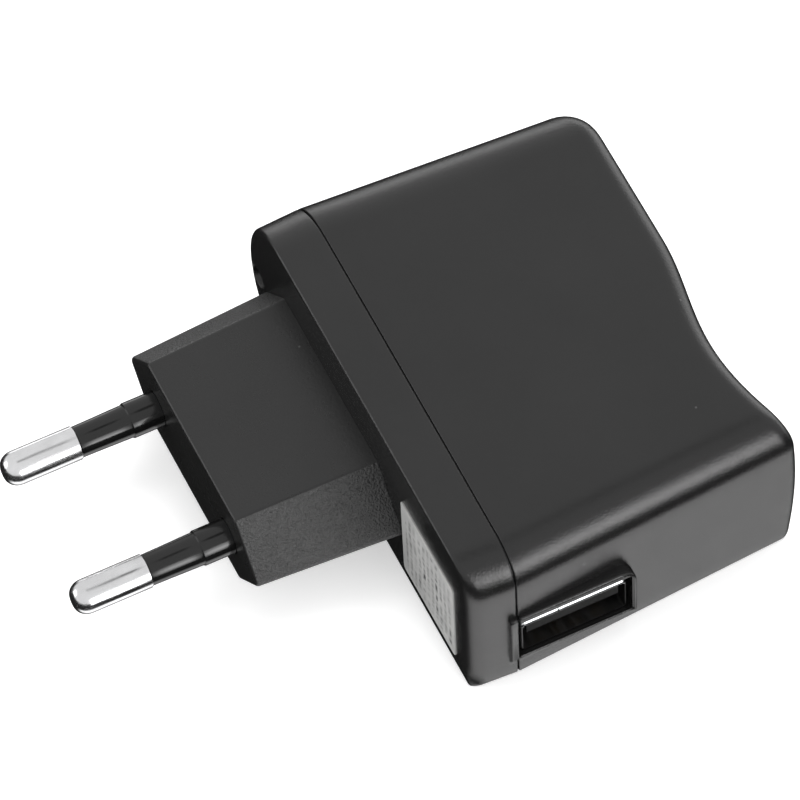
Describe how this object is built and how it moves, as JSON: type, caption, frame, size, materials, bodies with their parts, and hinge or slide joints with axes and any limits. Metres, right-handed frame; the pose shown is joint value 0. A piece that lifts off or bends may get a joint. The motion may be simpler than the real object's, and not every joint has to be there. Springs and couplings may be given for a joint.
{
  "type": "usb wall charger",
  "caption": "Black moulded mains adapter: a flat case with a wavy back and a round end, a two-pin plug block in front and a socket for a charging cable in one end.",
  "frame": {"origin": "centre of the bounding box in plan, on the broad face that the charger rests on", "axes": "+Z out of the upper broad face, the mains pins point to -Y, the socket faces +X"},
  "size_m": [0.0578, 0.0773, 0.0226],
  "materials": {
    "case_plastic": "fine spark-eroded grain",
    "block_plastic": "smooth top, coarse grain on the sides",
    "pin_metal": "bright nickel plate",
    "sleeve_plastic": "glossy",
    "screw_steel": "zinc plated",
    "label_film": "satin printed film",
    "board_laminate": "bare laminate",
    "solder": "bright solder",
    "usb_steel": "bright tin plate",
    "usb_plastic": "satin",
    "contact_gold": "gold flash",
    "ferrite": "sintered",
    "bobbin_plastic": "moulded",
    "winding_tape": "polyester tape",
    "bulk_sleeve": "shrink sleeve",
    "output_sleeve": "shrink sleeve",
    "blue_coating": "dipped epoxy",
    "diode_epoxy": "moulded epoxy",
    "fuse_coating": "flameproof lacquer",
    "chip_epoxy": "moulded epoxy",
    "opto_epoxy": "moulded epoxy",
    "resistor_lacquer": "lacquer",
    "live_insulation": "soft insulation",
    "neutral_insulation": "soft insulation"
  },
  "bodies": {
    "charger": {"rear_shell": "case_plastic", "front_cover": "case_plastic", "plug_block": "block_plastic", "live_pin": "pin_metal", "neutral_pin": "pin_metal", "live_pin_sleeve": "sleeve_plastic", "neutral_pin_sleeve": "sleeve_plastic", "cover_screws": "screw_steel", "rating_label": "label_film", "circuit_board": "board_laminate", "solder_joints": "solder", "transformer_pins": "solder", "usb_shell": "usb_steel", "usb_insulator": "usb_plastic", "usb_contact_tails": "contact_gold", "transformer_core": "ferrite", "transformer_bobbin": "bobbin_plastic", "transformer_winding": "winding_tape", "input_capacitor": "bulk_sleeve", "output_capacitor": "output_sleeve", "y_capacitor": "blue_coating", "rectifier_diodes": "diode_epoxy", "output_diode": "diode_epoxy", "fusible_resistor": "fuse_coating", "switching_transistor": "chip_epoxy", "voltage_reference": "chip_epoxy", "optocoupler": "opto_epoxy", "resistors": "resistor_lacquer", "live_lead": "live_insulation", "neutral_lead": "neutral_insulation"},
    "contact_1": {"usb_contact_1": "contact_gold"},
    "contact_2": {"usb_contact_2": "contact_gold"},
    "contact_3": {"usb_contact_3": "contact_gold"},
    "contact_4": {"usb_contact_4": "contact_gold"}
  },
  "joints": [
    {"name": "contact_1_flex", "type": "hinge", "parent": "charger", "child": "contact_1", "pos_m": [0.01905, 0.0065, 0.00775], "axis": [0, -1, 0], "range_deg": [0, 3.4], "stiffness_Nm_per_rad": 0.05},
    {"name": "contact_2_flex", "type": "hinge", "parent": "charger", "child": "contact_2", "pos_m": [0.01905, 0.009, 0.00775], "axis": [0, -1, 0], "range_deg": [0, 3.4], "stiffness_Nm_per_rad": 0.05},
    {"name": "contact_3_flex", "type": "hinge", "parent": "charger", "child": "contact_3", "pos_m": [0.01905, 0.011, 0.00775], "axis": [0, -1, 0], "range_deg": [0, 3.4], "stiffness_Nm_per_rad": 0.05},
    {"name": "contact_4_flex", "type": "hinge", "parent": "charger", "child": "contact_4", "pos_m": [0.01905, 0.0135, 0.00775], "axis": [0, -1, 0], "range_deg": [0, 3.4], "stiffness_Nm_per_rad": 0.05}
  ]
}
